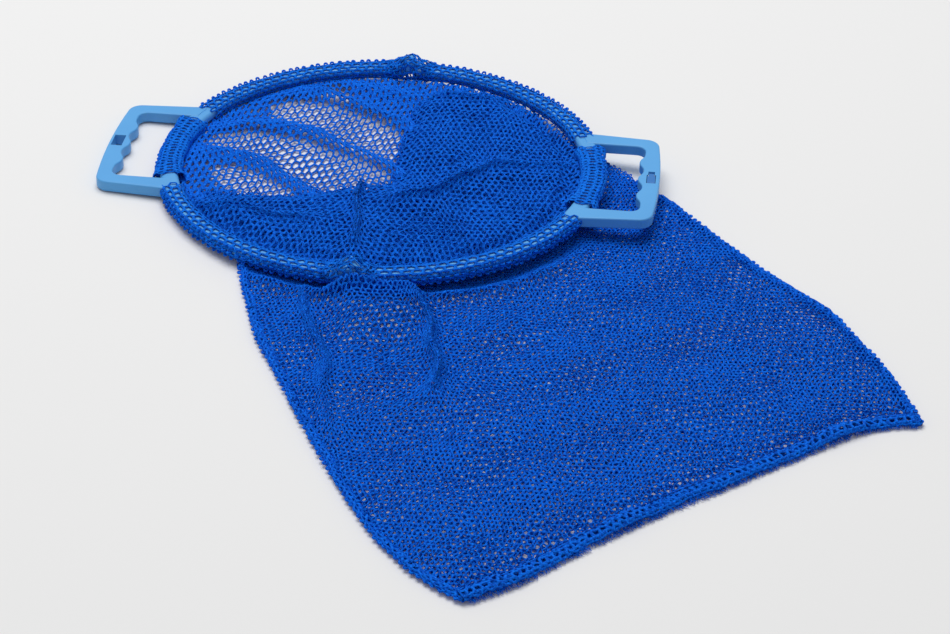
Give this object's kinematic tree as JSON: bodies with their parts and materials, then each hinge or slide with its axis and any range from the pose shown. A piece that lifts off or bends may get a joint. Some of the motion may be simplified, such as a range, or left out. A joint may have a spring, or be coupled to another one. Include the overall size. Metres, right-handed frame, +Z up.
{
  "type": "hinged-mouth mesh catch bag",
  "caption": "Flat mesh catch bag on a round hoop made of two hinged plastic halves, each with a moulded D-handle with finger hollows; a flap latch holds the halves shut.",
  "frame": {"origin": "on the ground under the centre of the mouth, on the underside of the bag's lower panel", "axes": "+Z up; +X from the left handle to the right handle, the half that swings; +Y along the hinge axis, away from the bag's near side"},
  "size_m": [0.5715, 0.6217, 0.0218],
  "materials": {
    "frame_plastic": "satin moulded light blue",
    "pin_plastic": "satin moulded blue",
    "latch_plastic": "satin moulded mid blue",
    "latch_pin_steel": "plain",
    "mesh": "knitted hexagonal mesh, royal blue",
    "thread": "twisted thread, dark blue"
  },
  "bodies": {
    "left_half_and_bag": {"left_half_frame": "frame_plastic", "far_hinge_pin": "pin_plastic", "far_hinge_pin_cap": "pin_plastic", "near_hinge_pin": "pin_plastic", "near_hinge_pin_cap": "pin_plastic", "left_sleeve_far": "mesh", "left_sleeve_middle": "mesh", "left_sleeve_near": "mesh", "left_sleeve_stitching": "thread", "bag_lower_panel": "mesh", "bag_upper_panel": "mesh", "near_side_seam": "mesh", "far_side_seam": "mesh", "bottom_hem": "mesh", "hem_stitching": "thread"},
    "right_half": {"right_half_frame": "frame_plastic", "right_sleeve_far": "mesh", "right_sleeve_middle": "mesh", "right_sleeve_near": "mesh", "right_sleeve_stitching": "thread", "latch_pin": "latch_pin_steel"},
    "latch": {"latch_flap": "latch_plastic"}
  },
  "joints": [
    {"name": "mouth_hinge", "type": "hinge", "parent": "left_half_and_bag", "child": "right_half", "pos_m": [-0.00019, 0, 0.01651], "axis": [0, -1, 0], "range_deg": [0, 180]},
    {"name": "latch_swing", "type": "hinge", "parent": "right_half", "child": "latch", "pos_m": [0.19162, 0.0075, 0.0194], "axis": [-0.9994, 0, -0.0349], "range_deg": [0, 90]}
  ]
}
